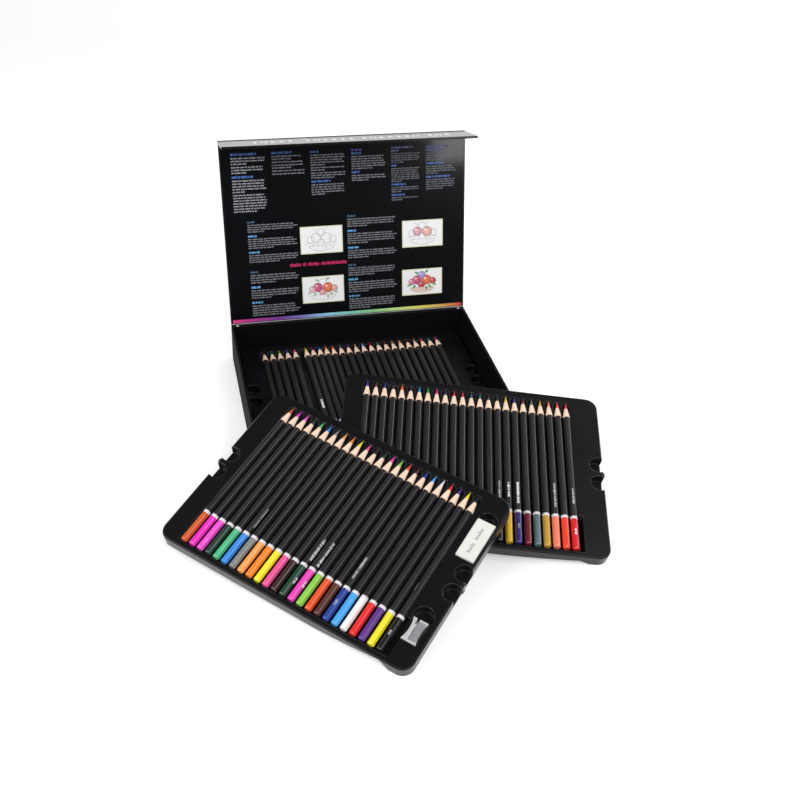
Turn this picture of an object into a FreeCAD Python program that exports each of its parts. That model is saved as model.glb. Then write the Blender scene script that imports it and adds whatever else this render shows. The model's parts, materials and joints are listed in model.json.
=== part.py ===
import FreeCAD, Part
import math
import os

# A hinged presentation box for pencils, with one tray in it and two leaning on its front wall.
# Millimetres, +Z up, +Y to the hinge, origin at the centre of the box's underside.

os.makedirs("parts", exist_ok=True)
V = FreeCAD.Vector
Turn = FreeCAD.Rotation
Place = FreeCAD.Placement
X_AXIS, Y_AXIS, Z_AXIS = V(1, 0, 0), V(0, 1, 0), V(0, 0, 1)

# pencils: the trays and the box are sized round them
pencil_len = 176.0
pencil_across = 7.6
pitch = 9.0
per_tray = 24
covered = 17
axis_up = 0.5
cone_len = 21.0
lead_r = 1.3
lead_len = 5.0
pocket_gap = 0.5
end_gap = 1.6

# box
box_h = 46.0
board = 2.5
spine_t = 1.5
lining = 0.6

# lid and flap
lid_angle = 107.8
flap_angle = 92.0
flap_len = 44.0
print_sheet = 0.3
sheet_inset = 1.5
hinge_bead_r = 0.7
hinge_gap = 0.3
fold_gap = 0.5
wrap_t = 0.5
rivet_r = 1.4
rivet_h = 1.6
rivet_in = 7.0
rivet_back = 0.9
crease_r = 0.6
magnet_r = 6.0
magnet_h = 1.5
magnet_x = 85.0
magnet_up = 23.0

# tray shell, with strips of plate left round the bed
tip_strip = 9.5
butt_strip = 6.5
side_strips = 57.0
left_strip = (26.0, 23.3, 26.4)
tray_side_gap = 4.5
tray_end_gap = 1.25
tray_h = 12.0
tray_t = 0.8
corner_r = 12.0
edge_r = 1.0
scoop_r = 8.6
scoop_in = 5.0
scoop_deep = 9.6
scoop_pitch = 21.5
scoop_shift = (-1.2, 0.7, 5.0)
tab_out = 1.0
ridge_h = 0.8
ridge_top = 1.0
ridge_foot = 2.8
trough_len = 40.0
trough_deep = 6.4
trough_left = 1.25
trough_right = 5.0
wall_slope_share = 0.45
notch_start, notch_crest, notch_foot = 94.0, 28.0, 19.0
notch_shares = (0.85, 0.35, 0.35)
notch_sag_share = 0.36

# eraser and sharpener
eraser_size = (18.0, 43.0, 12.0)
eraser_in, eraser_y = 12.0, 43.5
eraser_up = 2.0
eraser_edge = 0.6
well_r = 1.0
seat_gap = 0.5
recess_r = 9.5
recess_deep = 9.6
eraser_recess_share = 0.52
sharpener_size = (14.5, 22.5, 9.0)
sharpener_in, sharpener_front = 14.5, 36.5
sharpener_up = 1.0
sharpener_recess_off = 15.5
waist_in = 2.0
mouth_r = 3.9
throat_r = 1.0
bore_sides = 16
blade_size = (6.6, 19.0, 0.5)
blade_off = 2.4
slot_w = 2.6
screw_r = 2.1
screw_h = 0.7
stem_r = 1.05
stem_len = 2.0
driver_slot = 0.5

# where the trays lie: turned in plan and rolled, with plate centres measured from the box's front corners
tray_1_turn_angle = -44.9
tray_1_roll_angle = 2.98
tray_1_off = (59.0, 123.6)
tray_2_turn_angle = -15.4
tray_2_off = (72.2, 67.4)
tray_3_off = (0.9, 0.05)
table_gap = 0.05
rest_gap = 0.25
tip_angle_range = (1.0, 40.0)
halvings = 24
rim_points = 960

# pencils of tray 3 that have slid sideways off their beds
slid = {5: 4.0, 6: 2.9, 7: 1.8, 8: 0.7}

quarter_angle = 90
hex_sides = 6
hex_angle = 360 / hex_sides
cut_over = 0.8
across_flats = pencil_across * math.cos(math.radians(hex_angle / 2))
pencil_top = across_flats / 2 + axis_up
bed_deep = across_flats / 2 - axis_up
tray_w = pitch * (per_tray - 1) + side_strips
tray_d = pencil_len + tip_strip + butt_strip
box_w = tray_w + 2 * (tray_side_gap + board)
box_d = tray_d + 2 * (tray_end_gap + board) + spine_t
floor_z = board + lining
plate_z = floor_z + tray_h
tip_y = tray_d / 2 - tip_strip
bed_front = tip_y - pencil_len - end_gap
bed_back = tip_y - pencil_across / 2
first_x = [strip - tray_w / 2 for strip in left_strip]
eraser_at = (tray_w / 2 - eraser_in, eraser_y)
sharpener_at = (tray_w / 2 - sharpener_in, sharpener_front - tray_d / 2)


def box(x0, x1, y0, y1, z0, z1):
    return Part.makeBox(x1 - x0, y1 - y0, z1 - z0, V(x0, y0, z0))


def cylinder(r, z0, z1, x, y):
    return Part.makeCylinder(r, z1 - z0, V(x, y, z0))


def rounded_wire(x0, x1, y0, y1, r, z):
    centres = ((x1 - r, y1 - r), (x0 + r, y1 - r), (x0 + r, y0 + r), (x1 - r, y0 + r))
    arcs = []
    for quarter, (cx, cy) in enumerate(centres):
        circle = Part.Circle(V(cx, cy, z), Z_AXIS, r)
        start = math.radians(quarter_angle * quarter)
        arcs.append(Part.Arc(circle, start, start + math.radians(quarter_angle)).toShape())
    edges = []
    for i, arc in enumerate(arcs):
        following = arcs[(i + 1) % len(arcs)]
        edges.append(arc)
        edges.append(Part.makeLine(arc.Vertexes[-1].Point, following.Vertexes[0].Point))
    return Part.Wire(edges)


def rounded_block(x0, x1, y0, y1, z0, z1, r):
    return Part.Face(rounded_wire(x0, x1, y0, y1, r, z0)).extrude(V(0, 0, z1 - z0))


def polygon_prism(points, direction):
    return Part.Face(Part.makePolygon(points + points[:1])).extrude(direction)


def stacked(rings):
    # a closed solid with flat sides between rings of equal point count
    faces = [Part.Face(Part.makePolygon(ring + ring[:1])) for ring in (rings[0], rings[-1])]
    for low, high in zip(rings, rings[1:]):
        for i, point in enumerate(low):
            j = (i + 1) % len(low)
            faces.append(Part.Face(Part.makePolygon([point, low[j], high[j], high[i], point])))
    solid = Part.Solid(Part.Shell(faces))
    if solid.Volume < 0:
        solid.reverse()
    return solid


def pointed(base, tip):
    faces = [Part.Face(Part.makePolygon(base + base[:1]))]
    for i, point in enumerate(base):
        faces.append(Part.Face(Part.makePolygon([point, base[(i + 1) % len(base)], tip, point])))
    solid = Part.Solid(Part.Shell(faces))
    if solid.Volume < 0:
        solid.reverse()
    return solid


def well(x0, x1, y0, y1, deep, slope, grow):
    # a pocket sunk from above the plate, its walls leaning in by slope on the way down
    rings = []
    for lean, z in ((0, tray_t), (0, 0), (slope * deep, -deep - grow)):
        inset = lean - grow
        rings.append([V(x0 + inset, y0 + inset, z), V(x1 - inset, y0 + inset, z),
                      V(x1 - inset, y1 - inset, z), V(x0 + inset, y1 - inset, z)])
    return stacked(rings)


def bed_span(tray):
    # left and right edge of the sunk bed
    half = pencil_across / 2 + pocket_gap
    left = first_x[tray] - half
    right = first_x[tray] + pitch * (per_tray - 1) + half
    return left, right


def side_scoops(tray, grow):
    # two round finger scoops near the middle of each side
    cuts = []
    for side in (-1, 1):
        for along in (-1, 1):
            x = side * (tray_w / 2 - scoop_in)
            y = scoop_shift[tray] + along * scoop_pitch / 2
            cuts.append(cylinder(scoop_r + grow, -scoop_deep - grow, tray_t, x, y))
    return cuts


def accessory_wells(grow):
    # a close-fitting well for each accessory, with a round recess for a finger beside it
    wells = []
    seats = ((eraser_at, eraser_size, eraser_up, eraser_size[1] * eraser_recess_share),
             (sharpener_at, sharpener_size, sharpener_up, sharpener_recess_off))
    for (x, y), size, up, recess_off in seats:
        half_w = size[0] / 2 + seat_gap + grow
        half_d = size[1] / 2 + seat_gap + grow
        wells.append(rounded_block(x - half_w, x + half_w, y - half_d, y + half_d,
                                   up - size[2] - grow, tray_t, well_r))
        wells.append(cylinder(recess_r + grow, -recess_deep - grow, tray_t, x, y + recess_off))
    return wells


def bed_recess(tray):
    # the bed, ending in one narrowing pocket for each pencil's tip
    left, right = bed_span(tray)
    cuts = [box(left, right, bed_front, bed_back, -bed_deep, tray_t)]
    half = pencil_across / 2 + pocket_gap / 2
    for k in range(per_tray):
        x = first_x[tray] + pitch * k
        end = tip_y + pocket_gap
        mouth = [V(x - half, bed_back, -bed_deep), V(x + half, bed_back, -bed_deep),
                 V(x + half / 2, end, -bed_deep), V(x - half / 2, end, -bed_deep)]
        cuts.append(polygon_prism(mouth, V(0, 0, bed_deep + tray_t)))
    return cuts


def bed_ridges(tray):
    # low ridges that keep the pencils apart
    ridges = []
    low, base, crest = -bed_deep - tray_t / 2, -bed_deep, ridge_h - bed_deep
    foot, top = ridge_foot / 2, ridge_top / 2
    start = bed_front + trough_len
    for k in range(per_tray - 1):
        x = first_x[tray] + pitch * (k + 1 / 2)
        outline = [V(x - foot, start, low), V(x - foot, start, base), V(x - top, start, crest),
                   V(x + top, start, crest), V(x + foot, start, base), V(x + foot, start, low)]
        ridges.append(polygon_prism(outline, V(0, bed_back - start, 0)))
    return ridges


def trough(tray, grow):
    # the deeper part of the bed where the blunt ends can be reached
    left, right = bed_span(tray)
    return well(left - trough_left, right + trough_right, bed_front, bed_front + trough_len,
                trough_deep, wall_slope_share, grow)


def skirt_notch(tray):
    # the lower edge of the front skirt sweeps up in an arc and drops again at the corner foot
    start, high, foot = [tray_w / 2 - off for off in (notch_start, notch_crest, notch_foot)]
    rise = tray_h * notch_shares[tray]
    y = -tray_d / 2 - cut_over
    low = V(start, y, -tray_h)
    crest = V(high, y, rise - tray_h)
    mid = V((start + high) / 2, y, rise * notch_sag_share - tray_h)
    end = V(foot, y, -tray_h)
    under = tray_h + tray_t
    edges = [Part.Arc(low, mid, crest).toShape(), Part.makeLine(crest, end),
             Part.makeLine(end, V(foot, y, -under)), Part.makeLine(V(foot, y, -under), V(start, y, -under)),
             Part.makeLine(V(start, y, -under), low)]
    return Part.Face(Part.Wire(edges)).extrude(V(0, tray_t + 2 * cut_over, 0))


def tray_shell(tray):
    # a thin moulded sheet: plate, skirt, bed and scoops, hollow from below
    hw, hd = tray_w / 2, tray_d / 2
    block = rounded_block(-hw, hw, -hd, hd, -tray_h, 0, corner_r)
    rim = [e for e in block.Edges if e.BoundBox.ZMin > -tray_t / 2]
    block = block.makeChamfer(edge_r, rim)
    tab_half = (scoop_pitch - scoop_r * 2) / 2
    mid = scoop_shift[tray]
    tabs = [box(s * hw - tab_out, s * hw + tab_out, mid - tab_half, mid + tab_half, -tray_h, -edge_r / 2)
            for s in (-1, 1)]
    sunk = bed_recess(tray) + [trough(tray, 0)] + side_scoops(tray, 0)
    left, right = bed_span(tray)
    wall = tray_t
    bed = box(left - wall, right + wall, bed_front - wall, tip_y + pocket_gap + wall, -bed_deep - wall, tray_t)
    kept = [bed, trough(tray, wall)] + side_scoops(tray, wall)
    if tray == 0:
        sunk += accessory_wells(0)
        kept += accessory_wells(wall)
    under = rounded_block(wall - hw, hw - wall, wall - hd, hd - wall, -tray_h - wall, -wall, corner_r - wall)
    shell = block.fuse(tabs).cut(sunk).cut([under.cut(kept), skirt_notch(tray)])
    return shell.fuse(bed_ridges(tray)).removeSplitter()


def ring(r, y, sides):
    angles = [2 * math.pi * i / sides for i in range(sides)]
    return [V(r * math.cos(a), y, r * math.sin(a)) for a in angles]


def pencil_blank():
    # barrel and sharpened end in one form, up to where the lead comes out
    r = pencil_across / 2
    return stacked([ring(r, 0, hex_sides), ring(r, pencil_len - cone_len, hex_sides),
                    ring(lead_r, pencil_len - lead_len, hex_sides)])


def lead_blank():
    return pointed(ring(lead_r, pencil_len - lead_len, hex_sides), V(0, pencil_len, 0))


def row_of(blank, tray, picked):
    # copies lying in the tray's beds, those named in slid on top of the ridges
    copies = []
    for k in picked:
        x = first_x[tray] + pitch * k
        z = axis_up
        if tray == 2 and k in slid:
            x += slid[k]
            z += ridge_h
        copy = blank.copy()
        copy.Placement = Place(V(x, tip_y - pencil_len, z), Turn())
        copies.append(copy)
    return copies


def eraser():
    ex, ey, ez = eraser_size
    cx, cy = eraser_at
    block = box(cx - ex / 2, cx + ex / 2, cy - ey / 2, cy + ey / 2, eraser_up - ez, eraser_up)
    return block.makeChamfer(eraser_edge, block.Edges)


def sharpener_parts():
    # a waisted block with a tapering bore, and a blade held by one screw
    sx, sy, sz = sharpener_size
    cx, cy = sharpener_at
    top, low = sharpener_up, sharpener_up - sz
    x0, x1, y0, y1 = cx - sx / 2, cx + sx / 2, cy - sy / 2, cy + sy / 2
    right = Part.Arc(V(x1, y0, low), V(x1 - waist_in, cy, low), V(x1, y1, low)).toShape()
    left = Part.Arc(V(x0, y1, low), V(x0 + waist_in, cy, low), V(x0, y0, low)).toShape()
    outline = Part.Wire([right, Part.makeLine(V(x1, y1, low), V(x0, y1, low)), left,
                         Part.makeLine(V(x0, y0, low), V(x1, y0, low))])
    body = Part.Face(outline).extrude(V(0, 0, sz))
    bore = stacked([ring(throat_r, y0, bore_sides), ring(mouth_r, y1, bore_sides)])
    bore.translate(V(cx, 0, (top + low) / 2))
    bw, bl, bt = blade_size
    bx = cx + blade_off
    slot = box(bx - bw / 2 - slot_w, bx - bw / 2, cy - bl / 2, y1, (top + low) / 2, top)
    sunk = box(bx - bw / 2, bx + bw / 2, cy - bl / 2, cy + bl / 2, top - bt, top)
    blade = sunk.copy()
    stem = cylinder(stem_r, top - stem_len, top, bx, cy)
    head = cylinder(screw_r, top, top + screw_h, bx, cy)
    groove = box(bx - screw_r, bx + screw_r, cy - driver_slot / 2, cy + driver_slot / 2,
                 top + screw_h / 2, top + screw_h)
    screw = head.fuse(stem).cut(groove).removeSplitter()
    body = body.cut([bore, slot, sunk, stem])
    return body, blade.cut(stem), screw


def on_table(turn, x, y):
    # the lowest rounded corner of a tipped tray stands on the table
    reach = V(tray_w / 2 - corner_r, -tray_d / 2 + corner_r, -tray_h)
    at = turn.multVec(reach)
    up = turn.multVec(Z_AXIS)
    lean = math.sqrt(up.x ** 2 + up.y ** 2)
    return Place(V(x, y, corner_r * lean - at.z + table_gap), turn)


def over_wall(place):
    # height of the plane under the skirt above the front wall's top edge
    up = place.Rotation.multVec(Z_AXIS)
    under = place.multVec(V(0, 0, -tray_h))
    return under.z - up.y * (-box_d / 2 - under.y) / up.z - box_h


def over_tray(place, lower):
    # least height of the skirt's rim above the plate and the pencils of the tray below
    rim = rounded_wire(-tray_w / 2, tray_w / 2, -tray_d / 2, tray_d / 2, corner_r, -tray_h)
    back = lower.inverse()
    flat = pencil_across / 2 * math.cos(math.radians(hex_angle))
    gaps = []
    for point in rim.discretize(rim_points):
        at = back.multVec(place.multVec(point))
        if abs(at.x) < tray_w / 2 and abs(at.y) < tray_d / 2:
            in_bed = at.x > first_x[1] - flat and at.y < tip_y - cone_len
            gaps.append(at.z - (pencil_top if in_bed else 0))
    return min(gaps)


def tipped_to_rest(seat, height):
    # the tip angle at which a tray lies just clear of what holds its back up
    low, high = tip_angle_range
    for _ in range(halvings):
        tip = (low + high) / 2
        if height(seat(tip)) < rest_gap:
            low = tip
        else:
            high = tip
    return seat(high)


def tray_placements():
    front = -box_d / 2
    x_1, y_1 = tray_1_off[0] - box_w / 2, front - tray_1_off[1]
    x_2, y_2 = box_w / 2 - tray_2_off[0], front - tray_2_off[1]

    def seat_2(tip):
        return on_table(Turn(X_AXIS, tip) * Turn(Z_AXIS, tray_2_turn_angle), x_2, y_2)

    def seat_1(tip):
        turn = Turn(Z_AXIS, tray_1_turn_angle) * Turn(X_AXIS, tip) * Turn(Y_AXIS, tray_1_roll_angle)
        return on_table(turn, x_1, y_1)

    place_2 = tipped_to_rest(seat_2, over_wall)
    place_1 = tipped_to_rest(seat_1, lambda place: over_tray(place, place_2))
    place_3 = Place(V(tray_3_off[0], tray_3_off[1] - spine_t / 2, plate_z), Turn())
    return place_1, place_2, place_3


def placed(shape, place):
    moved = shape.copy()
    moved.Placement = place.multiply(moved.Placement)
    return moved


def box_nodes():
    # a tray of boards glued into the case's bottom and spine boards
    hw, hd = box_w / 2, box_d / 2
    nodes = {"case_bottom_board": box(-hw, hw, -hd, hd, 0, board)}
    spine_in = hd - spine_t
    nodes["case_spine_board"] = box(-hw, hw, spine_in, hd, board, box_h)
    rear_in = spine_in - board
    nodes["base_lining"] = box(-hw + board, hw - board, -hd + board, rear_in, board, floor_z)
    nodes["left_wall"] = box(-hw, -hw + board, -hd, spine_in, board, box_h)
    nodes["right_wall"] = box(hw - board, hw, -hd, spine_in, board, box_h)
    front = box(-hw + board, hw - board, -hd, -hd + board, board, box_h)
    rear = box(-hw + board, hw - board, rear_in, spine_in, board, box_h)
    plates, rivets = [], []
    for side in (-1, 1):
        plate = Part.makeCylinder(magnet_r, magnet_h, V(side * magnet_x, -hd, magnet_up), Y_AXIS)
        plates.append(plate)
        rivet_y = hd - rivet_r - rivet_back
        rivets.append(cylinder(rivet_r, box_h - rivet_h, box_h, side * (hw - rivet_in), rivet_y))
    bead = Part.makeCylinder(hinge_bead_r, box_w, V(-hw, hd, box_h), X_AXIS)
    wrap = box(-hw, hw, hd, hd + wrap_t, board, box_h).fuse(bead)
    nodes["front_wall"] = front.cut(plates)
    nodes["rear_wall"] = rear.cut(rivets)
    nodes["wall_steel_discs"] = Part.makeCompound(plates)
    nodes["hinge_rivets"] = Part.makeCompound(rivets)
    nodes["case_spine_board"] = nodes["case_spine_board"].cut(rivets + [bead])
    nodes["hinge_wrap"] = wrap.removeSplitter()
    return nodes


def lid_nodes():
    # drawn closed, lying on the walls
    hw, hd = box_w / 2, box_d / 2
    start = hd - hinge_bead_r - hinge_gap
    end = -hd - board
    sheet_top = box_h + print_sheet
    lid = box(-hw, hw, end, start, sheet_top, box_h + board)
    sheet = box(-hw + sheet_inset, hw - sheet_inset, -hd + sheet_inset, start, box_h, sheet_top)
    edge = [box(-hw, -hw + sheet_inset, end, start, box_h, sheet_top),
            box(hw - sheet_inset, hw, end, start, box_h, sheet_top),
            box(-hw, hw, end, -hd + sheet_inset, box_h, sheet_top)]
    crease = Part.makeCylinder(crease_r, box_w, V(-hw, end, box_h + board), X_AXIS)
    cover = lid.fuse(edge).removeSplitter().cut(crease)
    return {"lid_board": cover, "lid_print_sheet": sheet, "flap_crease": crease}


def flap_nodes():
    # drawn closed, hanging in front of the front wall
    hw, hd = box_w / 2, box_d / 2
    magnets = [Part.makeCylinder(magnet_r, magnet_h, V(s * magnet_x, -hd - magnet_h, magnet_up), Y_AXIS)
               for s in (-1, 1)]
    flap = box(-hw, hw, -hd - board, -hd, box_h - flap_len, box_h - fold_gap)
    return {"flap_board": flap.cut(magnets), "flap_magnets": Part.makeCompound(magnets)}


def opened(shape, tilt):
    hinge = V(0, box_d / 2, box_h)
    return placed(shape, Place(V(0, 0, 0), Turn(X_AXIS, -tilt), hinge))


def folded(shape):
    fold = V(0, -box_d / 2 - board, box_h + board)
    return placed(shape, Place(V(0, 0, 0), Turn(X_AXIS, flap_angle - quarter_angle), fold))


def build():
    nodes = box_nodes()
    for name, shape in lid_nodes().items():
        nodes[name] = opened(shape, lid_angle)
    for name, shape in flap_nodes().items():
        nodes[name] = opened(folded(shape), lid_angle)
    places = tray_placements()
    blank, lead = pencil_blank(), lead_blank()
    groups = {"pencils_1": (0, range(per_tray)), "pencils_2_under": (1, range(covered)),
              "pencils_2_free": (1, range(covered, per_tray)), "pencils_3": (2, range(per_tray))}
    for tray, place in enumerate(places):
        nodes["tray_%d_shell" % (tray + 1)] = placed(tray_shell(tray), place)
    for name, (tray, picked) in groups.items():
        for kind, shape in (("casings", blank), ("leads", lead)):
            row = [placed(p, places[tray]) for p in row_of(shape, tray, picked)]
            nodes[name + "_" + kind] = Part.makeCompound(row)
    nodes["eraser"] = placed(eraser(), places[0])
    for name, shape in zip(("body", "blade", "screw"), sharpener_parts()):
        nodes["sharpener_" + name] = placed(shape, places[0])
    return nodes


for node, shape in build().items():
    shape.exportStep("parts/" + node + ".step")
    print(node, len(shape.Solids), round(shape.Volume), "valid" if shape.isValid() else "NOT VALID")
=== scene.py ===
# %% [markdown]
# # Pencil presentation box
# The CAD model is loaded as a fixed frame. This script gives it materials, print and light.
# Lengths are metres in Blender; drawings are made in millimetres and scaled when they are placed.

# %% Load the frame
import json
import math
import random

import bpy
from mathutils import Matrix, Vector


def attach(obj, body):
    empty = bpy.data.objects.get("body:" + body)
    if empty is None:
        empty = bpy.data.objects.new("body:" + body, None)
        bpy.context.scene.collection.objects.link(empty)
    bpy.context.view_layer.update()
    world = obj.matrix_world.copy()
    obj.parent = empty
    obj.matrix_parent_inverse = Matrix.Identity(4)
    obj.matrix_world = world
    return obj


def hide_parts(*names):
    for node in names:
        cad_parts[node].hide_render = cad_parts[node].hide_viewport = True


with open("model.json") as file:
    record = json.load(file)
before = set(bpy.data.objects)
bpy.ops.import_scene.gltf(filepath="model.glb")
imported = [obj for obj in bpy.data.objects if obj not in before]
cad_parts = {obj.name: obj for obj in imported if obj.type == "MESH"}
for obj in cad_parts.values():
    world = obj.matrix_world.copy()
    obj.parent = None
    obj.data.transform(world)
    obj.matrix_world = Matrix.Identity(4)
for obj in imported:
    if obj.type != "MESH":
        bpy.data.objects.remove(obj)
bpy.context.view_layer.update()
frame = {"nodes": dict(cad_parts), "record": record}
MM = 0.001

# %% [markdown]
# ## Where things are
# The sizes repeat the CAD model's. Every drawing frame below is a matrix from flat millimetres to the
# place where the drawing lies: each tray's plate, the lid's inner face and the flap's outer face.

# %% Dimensions
BOX_D, BOX_H, BOARD = 201.0, 46.0, 2.5
LID_ANGLE, FLAP_FOLD = 107.8, 92.0
TRAY_W, TRAY_D, TRAY_H, CORNER_R = 264.0, 192.0, 12.0, 12.0
PITCH, PENCIL_LEN, TIP_Y, AXIS_UP = 9.0, 176.0, 86.5, 0.5
# a hair thinner than the CAD model's pencils, which leaves them clear of their troughs
HEX_R = 3.78
RIDGE_H = 0.8
# the first pencil of each tray, and how far four pencils of one tray have slid onto the ridges
PER_TRAY, UNDER_TRAY_1 = 24, 17
FIRST_X = {1: -106.0, 2: -108.7, 3: -105.6}
SLID_TRAY, SLID = 3, {5: 4.0, 6: 2.9, 7: 1.8, 8: 0.7}
TABLE_GAP = 0.05
TRAY_1_TURN, TRAY_1_TILT, TRAY_1_LEAN, TRAY_1_AT = -44.9, 14.1925, 2.98, (-80.0, -224.1)
TRAY_2_TURN, TRAY_2_TILT, TRAY_2_AT = -15.4, 13.974, (66.8, -167.9)
TRAY_3_AT = (0.9, -0.7, 15.1)


def turn(axis, degrees):
    return Matrix.Rotation(math.radians(degrees), 4, axis)


def seated(m, x, y):
    # set down so that the tray's lowest rounded corner stands on the table
    reach = m @ Vector((TRAY_W / 2 - CORNER_R, CORNER_R - TRAY_D / 2, -TRAY_H))
    up = m @ Vector((0, 0, 1))
    z = CORNER_R * math.hypot(up.x, up.y) - reach.z + TABLE_GAP
    return Matrix.Translation((x, y, z)) @ m


TRAY = {
    1: seated(turn("Z", TRAY_1_TURN) @ turn("X", TRAY_1_TILT) @ turn("Y", TRAY_1_LEAN), *TRAY_1_AT),
    2: seated(turn("X", TRAY_2_TILT) @ turn("Z", TRAY_2_TURN), *TRAY_2_AT),
    3: Matrix.Translation(TRAY_3_AT),
}
LID = Matrix.Translation((0, BOX_D / 2, BOX_H)) @ turn("X", -LID_ANGLE)
FLAP = LID @ Matrix.Translation((0, -BOX_D - BOARD, BOARD)) @ turn("X", FLAP_FOLD - 90)
LID_PRINT = LID @ turn("X", 180)
FLAP_PRINT = FLAP @ turn("X", 90)
SCALE = Matrix.Scale(MM, 4)
for key, value in TRAY.items():
    print("tray", key, [round(v, 1) for v in value.translation])

# %% [markdown]
# ## Node helpers
# Small functions keep each material short. What several materials share is a node group.

# %% Node helpers
def new_material(name):
    mat = bpy.data.materials.new(name)
    mat.use_nodes = True
    tree = mat.node_tree
    tree.nodes.clear()
    out = tree.nodes.new("ShaderNodeOutputMaterial")
    shader = tree.nodes.new("ShaderNodeBsdfPrincipled")
    tree.links.new(shader.outputs[0], out.inputs[0])
    return mat, tree, shader


def add(tree, kind, links=None, **values):
    # a node with its properties or numbers set and its sockets linked
    node = tree.nodes.new(kind)
    for key, value in values.items():
        if hasattr(node, key):
            setattr(node, key, value)
        else:
            node.inputs[key.replace("_", " ")].default_value = value
    for socket, source in (links or {}).items():
        tree.links.new(source, node.inputs[socket])
    return node


def set_shader(shader, **values):
    for key, value in values.items():
        shader.inputs[key.replace("_", " ")].default_value = value


def new_group(name, inputs, outputs):
    # an empty node group with its sockets, and the two nodes that carry them inside
    tree = bpy.data.node_groups.new(name, "ShaderNodeTree")
    for socket, kind in inputs.items():
        tree.interface.new_socket(socket, in_out="INPUT", socket_type="NodeSocket" + kind)
    for socket, kind in outputs.items():
        tree.interface.new_socket(socket, in_out="OUTPUT", socket_type="NodeSocket" + kind)
    return tree, tree.nodes.new("NodeGroupInput").outputs, tree.nodes.new("NodeGroupOutput").inputs


def map_range(tree, source, before, after, **values):
    # a value carried from one span to another
    node = add(tree, "ShaderNodeMapRange", {"Value": source}, **values)
    for socket, value in zip(("From Min", "From Max", "To Min", "To Max"), before + after):
        node.inputs[socket].default_value = value
    return node


def use(tree, group, links, **values):
    # a group placed in a material
    node = tree.nodes.new("ShaderNodeGroup")
    node.node_tree = group
    for socket, source in links.items():
        tree.links.new(source, node.inputs[socket])
    for socket, value in values.items():
        node.inputs[socket].default_value = value
    return node.outputs


def srgb(r, g, b):
    def lin(c):
        c = c / 255
        return c / 12.92 if c <= 0.04045 else ((c + 0.055) / 1.055) ** 2.4
    return (lin(r), lin(g), lin(b), 1.0)


# %% [markdown]
# Two groups serve most materials: one varies a tone by a pattern, the other rounds edges and finds them.

# %% Shared node groups
MIDDLE_GREY = 0.5
EDGE_SAMPLES, RELIEF_STRENGTH = 6, 0.5
EDGE_LEAN = (0.97, 0.8)


def toned_group():
    # a colour made darker and lighter by a grey pattern, and a roughness that follows it
    tree, given, result = new_group("toned", {"Colour": "Color", "Pattern": "Float", "Swing": "Float",
                                              "Rough": "Float"}, {"Colour": "Color", "Roughness": "Float"})
    signed = add(tree, "ShaderNodeMath", {0: given["Pattern"]}, operation="SUBTRACT")
    signed.inputs[1].default_value = MIDDLE_GREY
    swing = add(tree, "ShaderNodeMath", {0: signed.outputs[0], 1: given["Swing"]}, operation="MULTIPLY")
    factor = add(tree, "ShaderNodeMath", {0: swing.outputs[0]}, operation="ADD")
    factor.inputs[1].default_value = 1.0
    scaled = add(tree, "ShaderNodeVectorMath", {0: given["Colour"], "Scale": factor.outputs[0]},
                 operation="SCALE")
    rough = add(tree, "ShaderNodeMath", {0: given["Rough"], 1: factor.outputs[0]}, operation="MULTIPLY")
    tree.links.new(scaled.outputs[0], result["Colour"])
    tree.links.new(rough.outputs[0], result["Roughness"])
    return tree


def softened_group():
    # rounded edges with a fine relief on them, and how near a place is to an edge
    tree, given, result = new_group("softened", {"Pattern": "Float", "Radius": "Float", "Depth": "Float"},
                                    {"Normal": "Vector", "Edge": "Float"})
    bevel = add(tree, "ShaderNodeBevel", {"Radius": given["Radius"]}, samples=EDGE_SAMPLES)
    bump = add(tree, "ShaderNodeBump", {"Height": given["Pattern"], "Distance": given["Depth"],
                                        "Normal": bevel.outputs[0]}, Strength=RELIEF_STRENGTH)
    flat = add(tree, "ShaderNodeNewGeometry")
    lean = add(tree, "ShaderNodeVectorMath", {0: bevel.outputs[0], 1: flat.outputs["True Normal"]},
               operation="DOT_PRODUCT")
    near = map_range(tree, lean.outputs["Value"], EDGE_LEAN, (0.0, 1.0), interpolation_type="SMOOTHSTEP")
    tree.links.new(bump.outputs[0], result["Normal"])
    tree.links.new(near.outputs[0], result["Edge"])
    return tree


TONED, SOFTENED = toned_group(), softened_group()
print("groups", TONED.name, SOFTENED.name)

# %% [markdown]
# ## Materials
# The boards are wrapped in laminated paper, glossy on the lid and dull on the case. The trays are thin
# moulded sheet, glossier where it is drawn down into walls. The pencils are painted wood. Each material
# has its own grain, so that no face is one flat tone. The CAD nodes' surfaces get a painted highlight along
# their edges.

# %% Surfaces of the CAD nodes
GRAIN_DETAIL, FIBRE_DETAIL = 4.0, 3.0
STEEP_FACES, WALL_COAT = (0.3, 0.7), 0.3


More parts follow.
